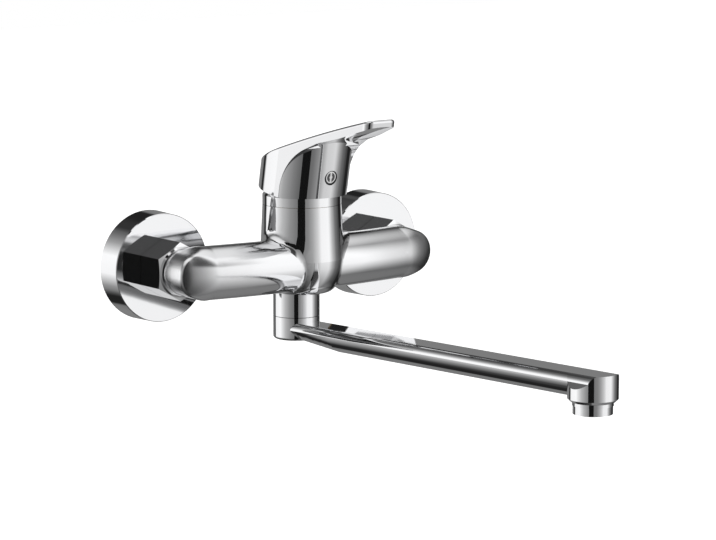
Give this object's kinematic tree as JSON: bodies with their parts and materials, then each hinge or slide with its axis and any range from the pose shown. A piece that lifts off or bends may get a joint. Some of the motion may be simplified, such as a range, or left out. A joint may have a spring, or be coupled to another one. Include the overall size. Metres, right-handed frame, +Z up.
{
  "type": "wall-mounted kitchen mixer tap",
  "caption": "Wall-mounted single-lever mixer tap: bowed round body on eccentric unions, leaning lever handle, long flat-topped swivel spout with aerator.",
  "frame": {"origin": "on the finished wall, midway between the two supply inlets and level with them", "axes": "+X to the right seen from the front, -Y out of the wall towards the user, +Z up"},
  "size_m": [0.2124, 0.333, 0.1344],
  "materials": {
    "chrome": "mirror-polished chrome plate",
    "brass": "machined, unplated",
    "rubber": "matte black rubber",
    "steel": "satin stainless steel",
    "ceramic": "lapped white ceramic",
    "white_polymer": "moulded, satin",
    "grey_polymer": "moulded, satin",
    "index_button": "glossy dark grey"
  },
  "bodies": {
    "faucet_body": {"wall_flange_left": "chrome", "s_union_left": "brass", "union_nut_left": "chrome", "union_washer_left": "rubber", "inlet_strainer_left": "steel", "inlet_nipple_left": "brass", "wall_flange_right": "chrome", "s_union_right": "brass", "union_nut_right": "chrome", "union_washer_right": "rubber", "inlet_strainer_right": "steel", "inlet_nipple_right": "brass", "body_casting": "chrome", "cap_ring": "chrome", "cartridge_clamp_nut": "brass", "cartridge_base": "grey_polymer", "cartridge_port_seals": "rubber", "fixed_ceramic_disc": "ceramic", "cartridge_housing": "grey_polymer", "spout_retaining_screw": "steel"},
    "guide": {"spindle_guide": "white_polymer", "spindle_pivot_pin": "steel"},
    "lever": {"lever_spindle": "steel", "lever_handle": "chrome", "handle_grub_screw": "steel", "index_button": "index_button"},
    "disc": {"moving_ceramic_disc": "ceramic", "disc_carrier": "white_polymer"},
    "spout": {"spout": "chrome", "spout_stem": "brass", "stem_o_rings": "rubber", "stem_slide_rings": "white_polymer", "aerator_housing": "chrome", "aerator_gasket": "rubber", "aerator_screen": "steel", "jet_regulator": "white_polymer", "stream_straightener": "white_polymer"}
  },
  "joints": [
    {"name": "handle_turn", "type": "hinge", "parent": "faucet_body", "child": "guide", "pos_m": [0, -0.04625, 0.038], "axis": [0, 0, 1], "range_deg": [-50, 50]},
    {"name": "handle_lift", "type": "hinge", "parent": "guide", "child": "lever", "pos_m": [0, -0.04625, 0.038], "axis": [-1, 0, 0], "range_deg": [0, 25]},
    {"name": "disc_slide", "type": "slide", "parent": "guide", "child": "disc", "axis": [0, -1, 0], "range_m": [0, 0.0039]},
    {"name": "spout_swivel", "type": "hinge", "parent": "faucet_body", "child": "spout", "pos_m": [0, -0.04066, -0.031], "axis": [0, 0, 1], "range_deg": [-90, 90]}
  ],
  "couplings": [
    {"joint": "disc_slide", "follows": "handle_lift", "m_per_rad": 0.0089258}
  ]
}
